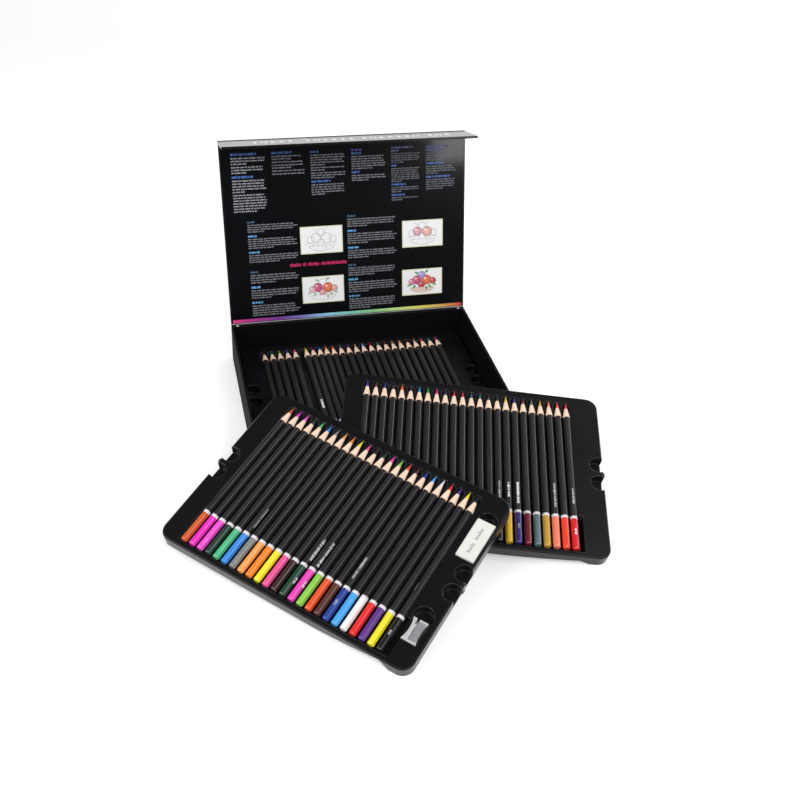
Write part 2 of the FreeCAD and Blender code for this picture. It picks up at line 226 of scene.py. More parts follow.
def surface(name, base, rough, grain, swing, bevel, depth, edge_highlight_and_wear_tone, edge_highlight_and_wear_share, **values):
    # a mottled surface whose edges are rounded and a little lighter: the lighter edges are a painted
    # highlight, which on the paper boards also stands for wear
    mat, tree, shader = new_material(name)
    coords = add(tree, "ShaderNodeTexCoord")
    stretched = add(tree, "ShaderNodeMapping", {"Vector": coords.outputs["Object"]}, Scale=grain)
    noise = add(tree, "ShaderNodeTexNoise", {"Vector": stretched.outputs[0]}, Scale=1.0,
                Detail=GRAIN_DETAIL)
    soft = use(tree, SOFTENED, {"Pattern": noise.outputs["Fac"]}, Radius=bevel * MM, Depth=depth * MM)
    share = add(tree, "ShaderNodeMath", {0: soft["Edge"], 1: noise.outputs["Fac"]}, operation="MULTIPLY")
    # painted highlight along the edges, broken up by the grain; on the paper boards it also stands for worn
    # edges
    highlight_and_wear = add(tree, "ShaderNodeMath", {0: share.outputs[0]}, operation="MULTIPLY")
    highlight_and_wear.inputs[1].default_value = 2 * edge_highlight_and_wear_share
    mix = add(tree, "ShaderNodeMix", {0: highlight_and_wear.outputs[0]}, data_type="RGBA")
    mix.inputs[6].default_value, mix.inputs[7].default_value = base, edge_highlight_and_wear_tone
    tone = use(tree, TONED, {"Pattern": noise.outputs["Fac"], "Colour": mix.outputs[2]},
               Swing=swing, Rough=rough)
    tree.links.new(tone["Colour"], shader.inputs["Base Color"])
    tree.links.new(tone["Roughness"], shader.inputs["Roughness"])
    tree.links.new(soft["Normal"], shader.inputs["Normal"])
    set_shader(shader, **values)
    return mat, tree, shader


def glossier_walls(tree, shader):
    # a clear coat on the steep faces only
    face = add(tree, "ShaderNodeNewGeometry")
    split = add(tree, "ShaderNodeSeparateXYZ", {0: face.outputs["True Normal"]})
    upright = add(tree, "ShaderNodeMath", {0: split.outputs["Z"]}, operation="ABSOLUTE")
    steep = map_range(tree, upright.outputs[0], STEEP_FACES, (WALL_COAT, 0.0))
    tree.links.new(steep.outputs[0], shader.inputs["Coat Weight"])


def even(size):
    return (size, size, size)


# the edge tones below are painted highlights on rims, scoops and corners; on the paper boards they are partly
# wear as well
wrap_gloss = surface("wrap_gloss", srgb(9, 10, 13), rough=0.2, grain=even(60), swing=0.4, bevel=0.6,
                     depth=0.02, edge_highlight_and_wear_tone=srgb(70, 70, 74), edge_highlight_and_wear_share=0.4)[0]
sheet_black = surface("sheet_black", srgb(6, 7, 11), rough=0.25, grain=even(60), swing=0.4, bevel=0.3,
                      depth=0.01, edge_highlight_and_wear_tone=srgb(60, 60, 66), edge_highlight_and_wear_share=0.3,
                      Specular_IOR_Level=0.1, Coat_Weight=0.3, Coat_Roughness=0.08)[0]
wrap_dull = surface("wrap_dull", srgb(13, 13, 15), rough=0.7, grain=even(220), swing=0.5, bevel=0.6,
                    depth=0.05, edge_highlight_and_wear_tone=srgb(90, 90, 92), edge_highlight_and_wear_share=0.5, Specular_IOR_Level=0.05)[0]
tray_black, tree, shader = surface("tray_black", srgb(16, 15, 18), rough=0.28, grain=even(45), swing=0.3,
                                   bevel=0.9, depth=0.02, edge_highlight_and_wear_tone=srgb(104, 102, 106), edge_highlight_and_wear_share=0.7,
                                   Specular_IOR_Level=0.25, Coat_Roughness=0.25, Coat_IOR=1.35)
glossier_walls(tree, shader)
eraser_white = surface("eraser_white", srgb(226, 226, 219), rough=0.6, grain=even(130), swing=0.1, bevel=0.8,
                       depth=0.1, edge_highlight_and_wear_tone=srgb(240, 240, 236), edge_highlight_and_wear_share=0.3,
                       Specular_IOR_Level=0.3, Subsurface_Weight=0.05)[0]
alloy = surface("alloy", srgb(206, 205, 207), rough=0.46, grain=(300, 60, 300), swing=0.3, bevel=0.3,
                depth=0.04, edge_highlight_and_wear_tone=srgb(244, 244, 246), edge_highlight_and_wear_share=0.2, Metallic=0.3)[0]
steel = surface("steel", srgb(176, 176, 180), rough=0.3, grain=(1600, 130, 1600), swing=0.3, bevel=0.1,
                depth=0.02, edge_highlight_and_wear_tone=srgb(226, 226, 230), edge_highlight_and_wear_share=0.5, Metallic=0.5)[0]
silver = surface("silver", srgb(236, 236, 238), rough=0.25, grain=(700, 60, 700), swing=0.2, bevel=0.3,
                 depth=0.02, edge_highlight_and_wear_tone=srgb(250, 250, 250), edge_highlight_and_wear_share=0.5, Metallic=0.2)[0]
print("surfaces", wrap_gloss.name, wrap_dull.name, tray_black.name, alloy.name)

# %% [markdown]
# The coats of the pencils, the leads and the inks take their tone from the mesh or from one colour.

# %% Pencil materials
def own_tone(tree, colour):
    # colour None takes the tone that each face carries
    if colour is None:
        return add(tree, "ShaderNodeAttribute", attribute_name="tone").outputs["Color"]
    node = add(tree, "ShaderNodeRGB")
    node.outputs[0].default_value = colour
    return node.outputs[0]


def painted(name, colour, rough, across, along, swing, depth=0.05, **values):
    # a coat whose grain is drawn out along the pencil
    mat, tree, shader = new_material(name)
    local = add(tree, "ShaderNodeAttribute", attribute_name="local")
    stretch = add(tree, "ShaderNodeMapping", {"Vector": local.outputs["Vector"]},
                  Scale=(across, along, across))
    fibre = add(tree, "ShaderNodeTexNoise", {"Vector": stretch.outputs[0]}, Scale=1.0, Detail=FIBRE_DETAIL)
    tone = use(tree, TONED, {"Pattern": fibre.outputs["Fac"], "Colour": own_tone(tree, colour)},
               Swing=swing, Rough=rough)
    bump = add(tree, "ShaderNodeBump", {"Height": fibre.outputs["Fac"]}, Strength=RELIEF_STRENGTH,
               Distance=depth * MM)
    tree.links.new(tone["Colour"], shader.inputs["Base Color"])
    tree.links.new(tone["Roughness"], shader.inputs["Roughness"])
    tree.links.new(bump.outputs[0], shader.inputs["Normal"])
    set_shader(shader, **values)
    return mat


barrel_paint = painted("barrel_paint", srgb(36, 34, 36), rough=0.34, across=2.4, along=0.06, swing=0.9)
cone_wood = painted("cone_wood", srgb(246, 215, 192), rough=0.6, across=5.0, along=0.3, swing=0.3,
                    Specular_IOR_Level=0.3)
ring_white = painted("ring_white", srgb(226, 220, 225), rough=0.35, across=2.4, along=0.1, swing=0.2)
cap_paint = painted("cap_paint", None, rough=0.25, across=1.2, along=0.1, swing=0.3,
                    Coat_Weight=0.6, Coat_Roughness=0.15)
lead_core = painted("lead_core", None, rough=0.45, across=3.0, along=0.8, swing=0.4, Specular_IOR_Level=0.4)
sheet_ink = painted("sheet_ink", None, rough=0.3, across=2.0, along=2.0, swing=0.2, depth=0.005)
foil_ink = painted("foil_ink", None, rough=0.35, across=2.0, along=2.0, swing=0.3, depth=0.01)

# %% [markdown]
# Each CAD node gets the material of its slot. The lid, the flap and the folds are the glossy boards.

# %% Finishes of the CAD nodes
SLOTS = {"board_black": wrap_dull, "printed_sheet": sheet_black, "tray_black": tray_black,
         "pencil_paint": barrel_paint, "pencil_lead": lead_core, "eraser_white": eraser_white,
         "sharpener_alloy": alloy, "blade_steel": steel, "steel": steel, "rivet_silver": silver}
GLOSSY_NODES = ("lid_board", "flap_board", "flap_crease", "hinge_wrap")
for part in frame["record"]["subparts"]:
    obj = frame["nodes"][part["node"]]
    obj.data.materials.clear()
    obj.data.materials.append(wrap_gloss if part["node"] in GLOSSY_NODES else SLOTS[part["material_slot"]])
print("slots", len(SLOTS))

# %% [markdown]
# ## Mesh helpers
# Every mesh keeps two attributes: the tone of each face, and its own place in millimetres before it is
# moved, which the grain of the materials follows.

# %% Mesh helpers
def mesh_object(name, verts, faces, mats, indices, matrix, tones=None):
    mesh = bpy.data.meshes.new(name)
    mesh.from_pydata(verts, [], faces)
    for mat in mats:
        mesh.materials.append(mat)
    if indices:
        mesh.polygons.foreach_set("material_index", indices)
    if tones:
        # one tone for a face, or a list with one for each corner
        flat = []
        for poly, tone in zip(mesh.polygons, tones):
            corners = tone if isinstance(tone, list) else [tone] * poly.loop_total
            for corner in corners:
                flat += corner
        mesh.attributes.new("tone", "FLOAT_COLOR", "CORNER").data.foreach_set("color", flat)
    local = [c for v in verts for c in v]
    mesh.attributes.new("local", "FLOAT_VECTOR", "POINT").data.foreach_set("vector", local)
    mesh.transform(SCALE @ matrix)
    mesh.update()
    obj = bpy.data.objects.new(name, mesh)
    bpy.context.collection.objects.link(obj)
    return obj


class Sheet:
    """Flat coloured shapes drawn in x and y at a small height, gathered in one mesh."""

    def __init__(self):
        self.verts, self.faces, self.tones = [], [], []

    def poly(self, points, z, tone):
        base = len(self.verts)
        self.verts += [(x, y, z) for x, y in points]
        self.faces.append(tuple(range(base, base + len(points))))
        self.tones.append(tone)

    def rect(self, x0, y0, x1, y1, z, tone):
        self.poly([(x0, y0), (x1, y0), (x1, y1), (x0, y1)], z, tone)

    def disc(self, x, y, rx, ry, z, tone, sides=20):
        around = arc_angles(0, 360, sides)[:-1]
        self.poly([(x + rx * math.cos(a), y + ry * math.sin(a)) for a in around], z, tone)

    def stroke(self, points, width, z, tone):
        for (x0, y0), (x1, y1) in zip(points, points[1:]):
            length = math.hypot(x1 - x0, y1 - y0)
            ox, oy = (y0 - y1) * width / 2 / length, (x1 - x0) * width / 2 / length
            corners = [(x0 - ox, y0 - oy), (x1 - ox, y1 - oy), (x1 + ox, y1 + oy), (x0 + ox, y0 + oy)]
            self.poly(corners, z, tone)

    def build(self, name, mats, matrix):
        return mesh_object(name, self.verts, self.faces, mats, None, matrix, self.tones)


def arc_angles(start, end, steps):
    return [math.radians(start + (end - start) * i / steps) for i in range(steps + 1)]


# %% [markdown]
# ## Print inside the lid
# Six columns and four blocks of small grey lines with blue headings, four pictures with pale borders,
# a crimson line in the middle and a rainbow strip along the hinge. The lines are plain word bars.
# The drawing frame has x to the right and y up the lid from the hinge.

# %% Lines of small print
INK_Z = 0.04
GREY = srgb(150, 151, 156)
PALE_GREY = srgb(126, 127, 134)
DIM_GREY = srgb(104, 107, 116)
BLUE = srgb(70, 104, 172)
VIOLET = srgb(96, 70, 170)
SLATE = srgb(92, 98, 150)
CYAN = srgb(98, 160, 210)
TEAL = srgb(62, 92, 118)
CRIMSON = srgb(196, 38, 92)
WORD_GAP, WORD_SHORT, WORD_LONG, WORD_LEAST = 0.9, 1.6, 7.0, 1.0
STEM_WIDE, STEM_STEP, STEMS_UP = 0.3, 1.7, 0.7
# heights of the bars and gaps between rows, in line pitches
HEAD_TALL, LINE_TALL = 0.76, 0.42
AFTER_HEAD, BETWEEN_LINES = 1.4, 1.2
# how much of the width a paragraph's last line and its other lines take
LAST_LINE, FULL_LINE = (0.35, 0.7), (0.9, 1.0)


def words(sheet, rng, left, right, y, tall, tone):
    # bars of word length, with short strokes above and below as letters have
    x = left
    while x < right - WORD_LEAST:
        width = min(rng.uniform(WORD_SHORT, WORD_LONG), right - x)
        sheet.rect(x, y - tall / 2, x + width, y + tall / 2, INK_Z, tone)
        for _ in range(int(width / STEM_STEP)):
            at = x + rng.uniform(0, width - STEM_WIDE)
            foot = y + tall / 2 if rng.random() < STEMS_UP else y - tall
            sheet.rect(at, foot, at + STEM_WIDE, foot + tall / 2, INK_Z, tone)
        x += width + WORD_GAP


def column(sheet, rng, left, right, top, pitch, before_head, grey, rows):
    # a row is a heading as (share of the width, tone), or the number of lines in a paragraph
    y = top
    width = right - left
    previous = None
    for row in rows:
        head = isinstance(row, tuple)
        if previous is not None:
            gap = AFTER_HEAD if previous == "head" else (before_head if head else BETWEEN_LINES)
            y -= gap * pitch
        if head:
            share, tone = row
            words(sheet, rng, left, left + share * width, y, HEAD_TALL * pitch, tone)
        else:
            for line in range(row):
                end = rng.uniform(*(LAST_LINE if line == row - 1 and row > 1 else FULL_LINE))
                words(sheet, rng, left, left + end * width, y - line * pitch, LINE_TALL * pitch, grey)
            y -= (row - 1) * pitch
        previous = "head" if head else "lines"


COLUMNS = (
    # left, right, top, line pitch, tone, rows
    (-126.6, -88.8, 189.0, 2.96, GREY, ((0.75, BLUE), 3, 3, (0.62, BLUE), 5, 7)),
    (-82.1, -44.8, 189.0, 2.75, PALE_GREY, ((0.6, BLUE), 2, 1, 2, 1, 1)),
    (-39.2, -0.1, 188.3, 2.6, PALE_GREY, ((0.26, BLUE), 5, 2, 3, (0.55, BLUE), 5)),
    (6.8, 46.6, 188.4, 2.6, PALE_GREY, ((0.3, VIOLET), (0.28, BLUE), 6, (0.25, BLUE), 3)),
    (52.4, 85.9, 188.8, 2.35, DIM_GREY, ((0.78, SLATE), (0.25, SLATE), 5, (0.2, BLUE), 7, (0.5, BLUE), 3,
                                         (0.5, BLUE), 2)),
    (92.9, 128.2, 188.2, 2.5, DIM_GREY, ((0.75, SLATE), (0.6, SLATE), 4, (0.6, BLUE), 4, (0.8, BLUE), 5)),
)
BLOCKS = (
    # left, right, top, line pitch, lines under each heading
    (-113.3, -57.0, 115.7, 2.46, (4, 5, 4)),
    (-113.3, -57.5, 59.4, 2.75, (4, 4, 5)),
    (0.0, 58.0, 116.0, 2.6, (4, 5, 4)),
    (-0.3, 58.5, 60.0, 2.65, (4, 5, 5)),
)

CRIMSON_WORDS = (7, 2, 7, 16)
CRIMSON_X, CRIMSON_Y = -67.8, 64.2
BLOCK_STEP, BLOCK_WIDE, BLOCK_GAP = 1.88, 1.45, 2.0
BLOCK_LOW, BLOCK_HIGH, BLOCK_HIGHER, HIGHER_EVERY = 1.6, 1.5, 2.3, 3
BEFORE_COLUMN_HEAD, BEFORE_BLOCK_HEAD = 1.5, 2.0
BLOCK_HEADS = ((0.17, TEAL), (0.19, CYAN), (0.22, CYAN))


def block_words(sheet, left, y, counts, tone):
    # bold words made of upright blocks, one for each stroke
    x = left
    for count in counts:
        for i in range(count):
            top = BLOCK_HIGHER if i % HIGHER_EVERY == 1 else BLOCK_HIGH
            sheet.rect(x, y - BLOCK_LOW, x + BLOCK_WIDE, y + top, INK_Z, tone)
            x += BLOCK_STEP
        x += BLOCK_GAP


SEED = 7
rng = random.Random(SEED)
lid_print = Sheet()
for left, right, top, pitch, grey, rows in COLUMNS:
    column(lid_print, rng, left, right, top, pitch, BEFORE_COLUMN_HEAD, grey, rows)
for left, right, top, pitch, counts in BLOCKS:
    rows = []
    for count, head in zip(counts, BLOCK_HEADS):
        rows += [head, count]
    column(lid_print, rng, left, right, top, pitch, BEFORE_BLOCK_HEAD, PALE_GREY, rows)
block_words(lid_print, CRIMSON_X, CRIMSON_Y, CRIMSON_WORDS, CRIMSON)
print("word bars", len(lid_print.faces))

# %% [markdown]
# The pictures show a bowl of fruit in four stages, from an outline to full colour.

# %% Pictures
PICTURE_W, PICTURE_H, BORDER = 48.8, 31.0, 1.0
PAPER = srgb(246, 246, 248)
CREAM = srgb(222, 222, 186)
PENCIL_GREY = srgb(120, 120, 130)
FRUIT = (
    # x, y, radius, tone, stage from which it is coloured
    (-0.6, 8.2, 4.3, srgb(176, 150, 216), 4),
    (-12.6, 0.4, 3.9, srgb(226, 120, 160), 3),
    (13.0, 0.6, 3.9, srgb(206, 52, 56), 3),
    (-6.2, 2.6, 5.3, srgb(210, 70, 118), 2),
    (5.4, 2.0, 5.8, srgb(232, 108, 54), 2),
    (-0.8, -3.2, 4.2, srgb(204, 40, 58), 3),
)
LEAVES = ((-13.0, -2.0, 205), (-8.0, -3.0, 235), (8.0, -3.4, 300), (12.0, -2.4, 335), (3.0, 10.4, 35),
          (-4.4, 9.4, 150), (5.0, -5.0, 275))
LEAF_GREEN = srgb(104, 164, 96)
DISH = srgb(226, 178, 160)
PICTURES = ((-30.2, 91.4, 1), (88.6, 91.4, 2), (-30.4, 34.1, 3), (88.0, 34.4, 4))
LAST_STAGE, LEAF_STAGE = 4, 3
FADE, PALER = 0.35, 0.3
# heights of the layers of a picture, from the paper up to the leaves
LAYERS = (0.005, 0.01, 0.03, 0.034, 0.038, 0.042)
PAPER_Z, FRUIT_Z, LINE_Z, DISH_Z, RIM_Z, LEAF_Z = [INK_Z + up for up in LAYERS]
SHINE_STEP = 0.004
DISH_HALF, DISH_DEEP, DISH_TOP = 14.5, 6.2, -6.4
RIBS, RIB_FROM, RIB_STEP, RIB_LEAN, RIB_TOP, RIB_FOOT = 5, -8, 4, 0.8, -7.4, -11.2
LEAF_OUTLINE = ((0, 0), (1.8, 1.4), (3.8, 1.3), (6.0, 0), (3.8, -1.3), (1.8, -1.4))
LEAF_LONG = 6
OUTLINE_WIDE, STEM_LINE, THIN_LINE = 0.35, 0.3, 0.25
FRUIT_SIDES, OUTLINE_SIDES, DISH_SIDES = 28, 22, 24


def tint(tone, share):
    # towards paper white
    return tuple(c + (1 - c) * share for c in tone[:3]) + (1.0,)


def deepen(tone, share):
    return tuple(c * share for c in tone[:3]) + (1.0,)


def leaf(sheet, x, y, degrees, z, tone):
    a = math.radians(degrees)
    points = []
    for u, v in LEAF_OUTLINE:
        points.append((x + u * math.cos(a) - v * math.sin(a), y + u * math.sin(a) + v * math.cos(a)))
    sheet.poly(points, z, tone)


def fruit(sheet, x, y, r, tone, z):
    # the body, a shade at the lower right, a lighter middle, a highlight and the stalk's dimple
    sheet.disc(x, y, r, r, z, tone, FRUIT_SIDES)
    shares = (
        # right, up, width and height as shares of the radius, layer, tone, sides
        (0.12, -0.14, 0.8, 0.78, 1, deepen(tone, 0.86), 24),
        (-0.08, 0.06, 0.7, 0.7, 2, tint(tone, 0.06), 24),
        (-0.3, 0.34, 0.3, 0.26, 3, tint(tone, 0.55), 16),
        (0.0, 0.72, 0.16, 0.1, 3, deepen(tone, 0.25), 10),
    )
    for across, up, wide, tall, layer, shade, sides in shares:
        sheet.disc(x + r * across, y + r * up, r * wide, r * tall, z + layer * SHINE_STEP, shade, sides)


def outline(sheet, x, y, rx, ry, start, end, z, tone):
    points = [(x + rx * math.cos(a), y + ry * math.sin(a)) for a in arc_angles(start, end, OUTLINE_SIDES)]
    sheet.stroke(points, OUTLINE_WIDE, z, tone)


def picture(sheet, x, y, stage):
    w, h = PICTURE_W / 2, PICTURE_H / 2
    sheet.rect(x - w, y - h, x + w, y + h, INK_Z, CREAM)
    sheet.rect(x - w + BORDER, y - h + BORDER, x + w - BORDER, y + h - BORDER, PAPER_Z, PAPER)
    for fx, fy, r, tone, from_stage in FRUIT:
        if stage >= from_stage:
            fade = FADE if stage == from_stage and stage < LAST_STAGE else 0.0
            fruit(sheet, x + fx, y + fy, r, tint(tone, fade), FRUIT_Z)
        outline(sheet, x + fx, y + fy, r, r, 0, 360, LINE_Z, PENCIL_GREY)
    # a shallow dish below the fruit
    brim = y + DISH_TOP
    half_turn = arc_angles(180, 360, DISH_SIDES)
    dish = [(x + DISH_HALF * math.cos(a), brim + DISH_DEEP * math.sin(a)) for a in half_turn]
    sheet.poly(dish, DISH_Z, tint(DISH, PALER) if stage == LAST_STAGE else PAPER)
    outline(sheet, x, brim, DISH_HALF, DISH_DEEP, 180, 360, RIM_Z, PENCIL_GREY)
    sheet.stroke([(x - DISH_HALF, brim), (x + DISH_HALF, brim)], THIN_LINE, RIM_Z, PENCIL_GREY)
    for k in range(RIBS):
        at = x + RIB_FROM + RIB_STEP * k
        rib = [(at, y + RIB_TOP), (at + RIB_LEAN, y + RIB_FOOT)]
        sheet.stroke(rib, THIN_LINE, RIM_Z, tint(PENCIL_GREY, PALER))
    for lx, ly, degrees in LEAVES:
        if stage >= LEAF_STAGE:
            green = tint(LEAF_GREEN, 0.0 if stage == LAST_STAGE else PALER)
            leaf(sheet, x + lx, y + ly, degrees, LEAF_Z, green)
        else:
            a = math.radians(degrees)
            tip = (x + lx + LEAF_LONG * math.cos(a), y + ly + LEAF_LONG * math.sin(a))
            sheet.stroke([(x + lx, y + ly), tip], STEM_LINE, LEAF_Z, PENCIL_GREY)


for x, y, stage in PICTURES:
    picture(lid_print, x, y, stage)
print("pictures", len(PICTURES))

# %% [markdown]
# The strip along the hinge runs through the colours of the rainbow, mixed between eleven tones.

# %% Rainbow strip
RAINBOW = [srgb(*c) for c in (
    (222, 66, 126), (174, 60, 152), (120, 62, 150), (124, 122, 190), (148, 202, 238), (130, 206, 190),
    (134, 202, 138), (192, 228, 140), (228, 226, 116), (222, 176, 92), (206, 62, 60))]
STRIP_HALF, STRIP_LOW, STRIP_HIGH, STRIP_STEPS = 136.6, 1.9, 5.6, 60


def rainbow_tone(share):
    at = share * (len(RAINBOW) - 1)
    i = min(int(at), len(RAINBOW) - 2)
    return tuple(a + (b - a) * (at - i) for a, b in zip(RAINBOW[i], RAINBOW[i + 1]))


for i in range(STRIP_STEPS):
    ends = [k / STRIP_STEPS for k in (i, i + 1)]
    x0, x1 = [STRIP_HALF * (2 * share - 1) for share in ends]
    first, second = [rainbow_tone(share) for share in ends]
    lid_print.rect(x0, STRIP_LOW, x1, STRIP_HIGH, INK_Z, [first, second, second, first])

lid_sheet = lid_print.build("lid_print", [sheet_ink], LID_PRINT)
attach(lid_sheet, "lid")
print("lid print", len(lid_sheet.data.polygons), "faces")

# %% [markdown]
# ## Print on the flap
# The flap's outer face carries one pale line of small plain shapes in four groups: upright pencils,
# diamonds, drops and frames.

# %% Flap print
TITLE_TONE = srgb(226, 226, 228)
TITLE_Y, TITLE_TALL, SHAPE_STEP, SHAPE_WIDE = -23.0, 17.0, 9.6, 6.8
TITLE_GROUPS = ((-105.0, 5), (-48.0, 6), (14.0, 7), (88.0, 3))
PENCIL_SHARE, POINT_SHARE, CAP_LONG, CAP_GAP, POINT_GAP = 0.25, 0.28, 2.0, 0.8, 0.7
DIAMOND_DOWN, DIAMOND_HALF = 0.1, 0.34
DROP_DOWN, DROP_ROUND, DROP_POINT, DROP_ARC = 0.22, 0.42, 0.4, (150, 390, 12)
FRAME_DOWN, FRAME_HALF, FRAME_LINE = 0.12, 0.32, 1.7


def upright_pencil(sheet, x, y, wide, tall):
    half, low, high = wide * PENCIL_SHARE, y - tall / 2, y + tall / 2
    shoulder = high - tall * POINT_SHARE
    sheet.rect(x - half, low, x + half, low + CAP_LONG, INK_Z, TITLE_TONE)
    sheet.rect(x - half, low + CAP_LONG + CAP_GAP, x + half, shoulder, INK_Z, TITLE_TONE)
    foot = shoulder + POINT_GAP
    sheet.poly([(x - half, foot), (x + half, foot), (x, high)], INK_Z, TITLE_TONE)


def diamond(sheet, x, y, wide, tall):
    low, half = y - tall * DIAMOND_DOWN, tall * DIAMOND_HALF
    corners = [(x - wide / 2, low), (x, low - half), (x + wide / 2, low), (x, low + half)]
    sheet.poly(corners, INK_Z, TITLE_TONE)


def drop(sheet, x, y, wide, tall):
    low, r = y - tall * DROP_DOWN, wide * DROP_ROUND
    round_end = [(x + r * math.cos(a), low + r * math.sin(a)) for a in arc_angles(*DROP_ARC)]
    sheet.poly(round_end + [(x, y + tall * DROP_POINT)], INK_Z, TITLE_TONE)


def frame_shape(sheet, x, y, wide, tall):
    w, h, line = wide / 2, tall * FRAME_HALF, FRAME_LINE
    low = y - tall * FRAME_DOWN
    bars = ((-w, -h, w, line - h), (-w, h - line, w, h), (-w, line - h, line - w, h - line),
            (w - line, line - h, w, h - line))
    for x0, y0, x1, y1 in bars:
        sheet.rect(x + x0, low + y0, x + x1, low + y1, INK_Z, TITLE_TONE)


flap_drawing = Sheet()
SHAPES = (upright_pencil, frame_shape, drop, diamond, upright_pencil, drop, frame_shape)
for start, count in TITLE_GROUPS:
    for i in range(count):
        SHAPES[i](flap_drawing, start + SHAPE_STEP * i + SHAPE_WIDE / 2, TITLE_Y, SHAPE_WIDE, TITLE_TALL)
flap_sheet = flap_drawing.build("flap_print", [sheet_ink], FLAP_PRINT)
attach(flap_sheet, "flap")
print("flap print", len(flap_sheet.data.polygons), "faces")

# %% [markdown]
# ## Pencils
# Each pencil is a hexagon barrel with softened edges, a turned wood cone that starts at a straight paint
# line, a coloured lead, a white ring and a dipped end.

# %% Pencil colours
CAPS = {
    # the tone of each pencil's end and lead, from left to right
    1: [(205, 92, 40), (235, 45, 190), (240, 82, 208), (34, 60, 50), (78, 184, 128), (60, 140, 225),
        (128, 130, 130), (248, 165, 85), (244, 134, 40), (248, 232, 40), (236, 85, 150), (58, 38, 36),
        (24, 70, 48), (238, 68, 188), (135, 205, 75), (232, 86, 40), (92, 50, 40), (40, 66, 150),
        (72, 165, 240), (240, 240, 240), (230, 45, 45), (95, 50, 140), (245, 228, 45), (20, 20, 22)],
    2: [(70, 60, 170), (110, 30, 30), (30, 50, 140), (60, 44, 36), (235, 110, 30), (40, 36, 44),
        (30, 150, 190), (40, 140, 70), (214, 30, 120), (30, 40, 110), (200, 24, 36), (200, 20, 60),
        (20, 90, 100), (20, 110, 110), (54, 40, 36), (30, 30, 30), (232, 184, 48), (56, 40, 118),
        (118, 28, 44), (92, 116, 120), (200, 154, 56), (245, 132, 104), (238, 68, 38), (216, 30, 36)],
    3: [(80, 44, 36), (20, 120, 90), (120, 180, 40), (90, 50, 150), (230, 90, 150), (240, 210, 40),
        (130, 24, 36), (30, 80, 190), (240, 120, 30), (240, 130, 50), (110, 96, 130), (90, 60, 160),
        (190, 150, 110), (110, 180, 230), (200, 30, 40), (40, 140, 60), (110, 60, 40), (196, 150, 110),
        (240, 160, 130), (110, 20, 50), (190, 140, 150), (230, 90, 50), (20, 130, 130), (220, 60, 150)],
}
LEAD_SHADES = (0.95, 0.85, 0.72, 0.58, 0.5)

# %% [markdown]
# One casing and one lead are made, and then copied to every place in a row.

# %% Pencil mesh
AROUND, LEAD_SIDES = 48, 16
CAP_END, RING_START, RING_END = 32.5, 32.6, 35.4
STEP, RING_SHARE = 0.1, 1.003
CAP_ROUNDING = ((0.0, 0.80), (0.3, 0.91), (0.8, 0.98), (1.5, 1.0))
CONE_START, CONE_END, LEAD_R, LEAD_TIP_R = 155.6, 167.2, 1.75, 0.3
PAINT_RINGS, PAINT_STEP, WOOD_ONLY = 8, 0.4, 6.0
LEAD_SHORT, LEAD_TIP_SHORT, LEAD_RINGS = 0.6, 0.2, (0, 0.3, 0.6, 0.8, 1)
RIDGE_SOFTNESS = 0.93
BARREL, CAP, RING, WOOD = range(4)


def hex_radius(angle):
    # distance from the axis to the softened hexagon at this angle, corners at 0, 60, 120...
    local = (math.degrees(angle) % 60) - 30
    flat = HEX_R * math.cos(math.radians(30)) / math.cos(math.radians(local))
    return min(flat, HEX_R * RIDGE_SOFTNESS)


def cone_radius(y):
    slope = (HEX_R - LEAD_R) / (CONE_END - CONE_START)
    return HEX_R - max(0.0, y - CONE_START) * slope


def ring_points(y, radius, count):
    return [(radius(a) * math.cos(a), y, radius(a) * math.sin(a)) for a in arc_angles(0, 360, count)[:-1]]


def tube_faces(rings, count):
    faces = []
    for s in range(rings - 1):
        for i in range(count):
            j = (i + 1) % count
            faces.append((s * count + i, s * count + j, (s + 1) * count + j, (s + 1) * count + i))
    return faces


def casing():
    # stations along the pencil: place, share of the radius and what starts there
    stations = [(y, share, CAP) for y, share in CAP_ROUNDING + ((CAP_END, 1.0),)]
    stations += [(RING_START, RING_SHARE, RING), (RING_END, RING_SHARE, RING)]
    stations += [(RING_END + STEP, 1.0, BARREL), (CONE_START - STEP, 1.0, BARREL)]
    stations += [(CONE_START + PAINT_STEP * k, 1.0, WOOD) for k in range(PAINT_RINGS)]
    stations += [(CONE_END - WOOD_ONLY, 1.0, WOOD), (CONE_END, 1.0, WOOD)]
    verts, marks = [], []
    for y, share, _ in stations:
        verts += ring_points(y, lambda a: min(hex_radius(a) * share, cone_radius(y)), AROUND)
    faces = tube_faces(len(stations), AROUND)
    for _, _, mark in stations[:-1]:
        marks += [mark] * AROUND
    faces.append(tuple(range(AROUND)))
    marks.append(CAP)
    return verts, faces, marks


def lead():
    # rings of the bare core and how dark each band is, darkest at the point
    length = PENCIL_LEN - CONE_END - LEAD_SHORT
    rings = [(CONE_END + length * share, LEAD_R + (LEAD_TIP_R - LEAD_R) * share) for share in LEAD_RINGS]
    rings.append((PENCIL_LEN - LEAD_TIP_SHORT, LEAD_TIP_R / 2))
    verts = []
    for y, r in rings:
        verts += ring_points(y, lambda a: r, LEAD_SIDES)
    faces = tube_faces(len(rings), LEAD_SIDES)
    faces.append(tuple(range(len(verts) - LEAD_SIDES, len(verts))))
    shades = [share for share in LEAD_SHADES for _ in range(LEAD_SIDES)] + [LEAD_SHADES[-1]]
    return verts, faces, shades


CASING, LEAD = casing(), lead()


def pencil_place(tray, k):
    x = FIRST_X[tray] + PITCH * k
    z = AXIS_UP
    if tray == SLID_TRAY and k in SLID:
        x, z = x + SLID[k], z + RIDGE_H
    return Vector((x, TIP_Y - PENCIL_LEN, z))


def copies(verts, faces, places):
    all_verts, all_faces = [], []
    for at in places:
        base = len(all_verts)
        all_verts += [(x + at.x, y + at.y, z + at.z) for x, y, z in verts]
        all_faces += [tuple(i + base for i in face) for face in faces]
    return all_verts, all_faces


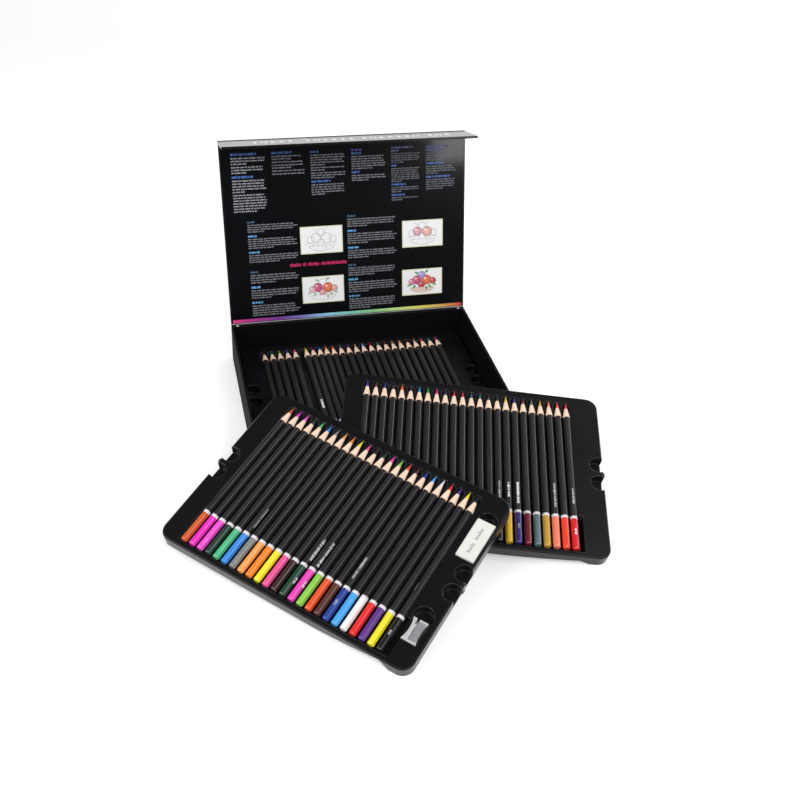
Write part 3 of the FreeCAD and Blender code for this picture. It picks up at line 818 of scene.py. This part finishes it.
def pencil_row(name, tray, picked, body):
    places = [pencil_place(tray, k) for k in picked]
    tones = [srgb(*CAPS[tray][k]) for k in picked]
    verts, faces, marks = CASING
    all_verts, all_faces = copies(verts, faces, places)
    face_tones = [tone for tone in tones for _ in faces]
    coats = [barrel_paint, cap_paint, ring_white, cone_wood]
    painted_row = mesh_object(name + "_painted", all_verts, all_faces, coats, marks * len(places), TRAY[tray],
                              face_tones)
    verts, faces, shades = LEAD
    all_verts, all_faces = copies(verts, faces, places)
    face_tones = [deepen(tone, share) for tone in tones for share in shades]
    tips = mesh_object(name + "_tips", all_verts, all_faces, [lead_core], None, TRAY[tray], face_tones)
    for obj, node, slot in ((painted_row, "_casings", "pencil_paint"), (tips, "_leads", "pencil_lead")):
        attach(obj, body)
        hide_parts(name + node)
    return painted_row


ROWS = (("pencils_1", 1, range(PER_TRAY), "pencils_1"),
        ("pencils_2_under", 2, range(UNDER_TRAY_1), "tray_2"),
        ("pencils_2_free", 2, range(UNDER_TRAY_1, PER_TRAY), "pencils_2_free"),
        ("pencils_3", 3, range(PER_TRAY), "pencils_3"))
for name, tray, picked, body in ROWS:
    made = pencil_row(name, tray, picked, body)
    print(name, len(made.data.polygons), "faces")

# %% [markdown]
# Some pencils lie with their silver marks up: rows of small foil bars on one facet of the barrel.

# %% Foil marks
FOIL, PALE_FOIL = srgb(240, 240, 242), srgb(186, 186, 190)
LEFT, TOP, RIGHT = -1, 0, 1
MARKS = {
    # tray, body, and for each mark: pencil, facet, start, length, width, tone
    "pencils_1": (1, "pencils_1", (
        (5, RIGHT, 42.0, 23.0, 1.8, PALE_FOIL), (12, RIGHT, 40.5, 24.0, 3.3, FOIL),
        (13, RIGHT, 38.5, 27.0, 3.2, FOIL), (17, TOP, 44.0, 24.0, 2.4, PALE_FOIL),
        (23, LEFT, 62.0, 9.0, 1.6, PALE_FOIL), (12, RIGHT, 14.0, 6.0, 2.4, FOIL),
        (13, RIGHT, 15.0, 6.0, 2.4, FOIL), (17, TOP, 15.0, 5.0, 2.2, PALE_FOIL),
        (23, TOP, 15.0, 5.0, 2.0, PALE_FOIL))),
    "pencils_2_under": (2, "tray_2", (
        (15, TOP, 43.0, 24.0, 1.8, PALE_FOIL), (16, TOP, 49.0, 18.0, 2.2, FOIL))),
    "pencils_2_free": (2, "pencils_2_free", (
        (17, TOP, 43.0, 24.0, 2.6, FOIL), (21, TOP, 43.0, 28.0, 2.1, PALE_FOIL),
        (23, TOP, 49.0, 18.0, 2.0, PALE_FOIL), (23, TOP, 15.0, 6.0, 2.0, FOIL),
        (17, TOP, 15.0, 5.0, 1.8, PALE_FOIL))),
    "pencils_3": (3, "pencils_3", ((5, TOP, 56.0, 15.0, 2.8, FOIL),)),
}
BAR_SHORT, BAR_LONG, LAST_BAR = 0.7, 1.9, 0.5
BAR_HEIGHTS, BAR_GAPS = (0.7, 0.7, 0.85, 1.0), (0.25, 0.3, 0.35, 1.1)
FOIL_THICK = 0.02
FACET_OUT = HEX_R * math.cos(math.radians(30)) + FOIL_THICK


def facet_bar(at, facet, start, end, width):
    # a thin quad lying on one facet of the barrel
    centre = math.radians(90 - 60 * facet)
    out = (math.cos(centre) * FACET_OUT, math.sin(centre) * FACET_OUT)
    across = (-math.sin(centre) * width / 2, math.cos(centre) * width / 2)
    corners = []
    for y, side in ((start, -1), (start, 1), (end, 1), (end, -1)):
        corners.append((at.x + out[0] + side * across[0], at.y + y, at.z + out[1] + side * across[1]))
    return corners


for name, (tray, body, rows) in MARKS.items():
    verts, faces, tones = [], [], []
    for k, facet, start, length, width, tone in rows:
        at = pencil_place(tray, k)
        y = start
        while y < start + length - LAST_BAR:
            bar = min(rng.uniform(BAR_SHORT, BAR_LONG), start + length - y)
            tall = width * rng.choice(BAR_HEIGHTS)
            base = len(verts)
            verts += facet_bar(at, facet, y, y + bar, tall)
            faces.append((base, base + 1, base + 2, base + 3))
            tones.append(tone)
            y += bar + rng.choice(BAR_GAPS)
    foil = mesh_object(name + "_foil", verts, faces, [foil_ink], None, TRAY[tray], tones)
    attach(foil, body)
    print(name, "foil bars", len(faces))

# %% [markdown]
# The eraser carries two short rows of plain grey bars along its length.

# %% Eraser print
ERASER_X, ERASER_Y, ERASER_TOP = 120.0, 43.5, 2.0
ERASER_WORDS = ((-14.5, 5), (0.5, 6))
BAR_STEP, BAR_WIDE, BAR_TALL, LOW_BAR_SHARE, TALL_BARS = 2.2, 1.1, 3.4, 0.7, (0, 3)
ERASER_TONE = srgb(140, 140, 136)
eraser_drawing = Sheet()
for start, count in ERASER_WORDS:
    for i in range(count):
        y = ERASER_Y + start + BAR_STEP * i
        tall = BAR_TALL if i in TALL_BARS else BAR_TALL * LOW_BAR_SHARE
        foot = ERASER_X + BAR_TALL / 2
        eraser_drawing.rect(foot - tall, y, foot, y + BAR_WIDE, ERASER_TOP + INK_Z, ERASER_TONE)
eraser_sheet = eraser_drawing.build("eraser_print", [sheet_ink], TRAY[1])
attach(eraser_sheet, "eraser")
print("eraser print", len(eraser_sheet.data.polygons), "bars")

# %% [markdown]
# The slot beside the sharpener's blade is narrow: a thin lip covers most of it, up to the open end.

# %% Sharpener lip
LIP_X, LIP_Y, LIP_TOP, LIP_THICK = (-3.7, -1.6), (-9.6, 6.0), 1.0, 0.6
SHARPENER_X, SHARPENER_Y = 117.5, -59.5


def block(x0, x1, y0, y1, z0, z1):
    verts = [(x, y, z) for z in (z0, z1) for x, y in ((x0, y0), (x1, y0), (x1, y1), (x0, y1))]
    faces = [(3, 2, 1, 0), (4, 5, 6, 7), (0, 1, 5, 4), (1, 2, 6, 5), (2, 3, 7, 6), (3, 0, 4, 7)]
    return verts, faces


lip_left, lip_right = [SHARPENER_X + x for x in LIP_X]
lip_front, lip_back = [SHARPENER_Y + y for y in LIP_Y]
verts, faces = block(lip_left, lip_right, lip_front, lip_back, LIP_TOP - LIP_THICK, LIP_TOP)
lip = mesh_object("sharpener_lip", verts, faces, [alloy], None, TRAY[1])
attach(lip, "sharpener")
print("lip", len(faces), "faces")

# %% [markdown]
# ## Stage, light and camera
# The floor is a wide pale plane, lifted to white for camera, glossy and transmission rays only.

# %% Floor
FLOOR_LIFT, FLOOR_WHITE = 0.3, (0.93, 0.93, 0.93, 1)
FLOOR_X, FLOOR_Y = (-4000, 4000), (-1000, 6000)
floor_mesh = Sheet()
floor_mesh.rect(FLOOR_X[0], FLOOR_Y[0], FLOOR_X[1], FLOOR_Y[1], 0, FLOOR_WHITE)
floor_mat, tree, shader = new_material("floor")
set_shader(shader, Base_Color=FLOOR_WHITE, Roughness=0.9, Specular_IOR_Level=0.0, Emission_Color=(1, 1, 1, 1))
ray = add(tree, "ShaderNodeLightPath")
seen = add(tree, "ShaderNodeMath", {0: ray.outputs["Is Camera Ray"], 1: ray.outputs["Is Glossy Ray"]},
           operation="ADD")
through = add(tree, "ShaderNodeMath", {0: seen.outputs[0], 1: ray.outputs["Is Transmission Ray"]},
              operation="ADD")
lift = add(tree, "ShaderNodeMath", {0: through.outputs[0]}, operation="MULTIPLY")
lift.inputs[1].default_value = FLOOR_LIFT
tree.links.new(lift.outputs[0], shader.inputs["Emission Strength"])
floor = floor_mesh.build("floor", [floor_mat], Matrix.Identity(4))
print("floor", FLOOR_X, FLOOR_Y)

# %% [markdown]
# Wide soft lamps stand all round. A small weak one in front puts the sheen in the lid's upper right corner.

# %% World and lamps
WORLD_LIGHT = 0.14
LAMPS = (
    # name, place, aim, width, height, watts
    ("left", (-1.6, -0.5, 1.2), (0, -0.1, 0), 1.4, 1.4, 28),
    ("right", (1.56, 0.63, 0.8), (0, -0.1, 0), 1.4, 1.4, 15),
    ("top right", (1.0, -0.54, 1.56), (0, -0.1, 0), 0.9, 0.9, 8),
    ("front", (0.1, -1.6, 1.6), (0, 0, 0.1), 1.2, 0.9, 17),
    ("rear", (0.2, 2.2, 0.55), (0, 0.1, 0.2), 3.2, 1.1, 13.5),
    ("sheen", (0.6, -1.23, 0.56), (0.13, 0.16, 0.23), 0.16, 0.16, 0.9),
)
world = bpy.data.worlds.new("studio")
bpy.context.scene.world = world
world.use_nodes = True
world.node_tree.nodes["Background"].inputs[0].default_value = (1, 1, 1, 1)
world.node_tree.nodes["Background"].inputs[1].default_value = WORLD_LIGHT


def lamp(name, at, target, size, size_y, power):
    data = bpy.data.lights.new(name, "AREA")
    data.shape, data.size, data.size_y, data.energy = "RECTANGLE", size, size_y, power
    obj = bpy.data.objects.new(name, data)
    obj.location = at
    obj.rotation_euler = (Vector(target) - Vector(at)).to_track_quat("-Z", "Y").to_euler()
    obj.visible_camera = False
    bpy.context.collection.objects.link(obj)


for settings in LAMPS:
    lamp(*settings)
print("lamps", len(LAMPS))

# %% [markdown]
# The camera stands where the photograph was taken from, found from points of the box, the lid and the trays.

# %% Camera
EYE = (-218.548, -847.359, 666.718)
LOOK_DOWN, LOOK_RIGHT, ROLL = 38.496, 14.879, 3.518
FOCAL_PIXELS, CENTRE_PIXELS, FRAME_PIXELS = 976.5166, (371.067, 418.816), 800
SENSOR = 36.0
down, right, roll = [math.radians(v) for v in (LOOK_DOWN, LOOK_RIGHT, ROLL)]
forward = Vector((math.sin(right) * math.cos(down), math.cos(right) * math.cos(down), -math.sin(down)))
level_side = forward.cross(Vector((0, 0, 1))).normalized()
level_up = level_side.cross(forward)
side = level_side * math.cos(roll) + level_up * math.sin(roll)
over = level_up * math.cos(roll) - level_side * math.sin(roll)
cam_data = bpy.data.cameras.new("camera")
camera = bpy.data.objects.new("camera", cam_data)
bpy.context.collection.objects.link(camera)
axes = Matrix((side, over, -forward)).transposed().to_4x4()
camera.matrix_world = Matrix.Translation(Vector(EYE) * MM) @ axes
cam_data.sensor_width = SENSOR
cam_data.lens = FOCAL_PIXELS / FRAME_PIXELS * SENSOR
cam_data.shift_x = (FRAME_PIXELS / 2 - CENTRE_PIXELS[0]) / FRAME_PIXELS
cam_data.shift_y = (CENTRE_PIXELS[1] - FRAME_PIXELS / 2) / FRAME_PIXELS
bpy.context.scene.camera = camera
bpy.context.scene.view_settings.view_transform = "Standard"
print("camera lens", round(cam_data.lens, 2), "shift", round(cam_data.shift_x, 4), round(cam_data.shift_y, 4))
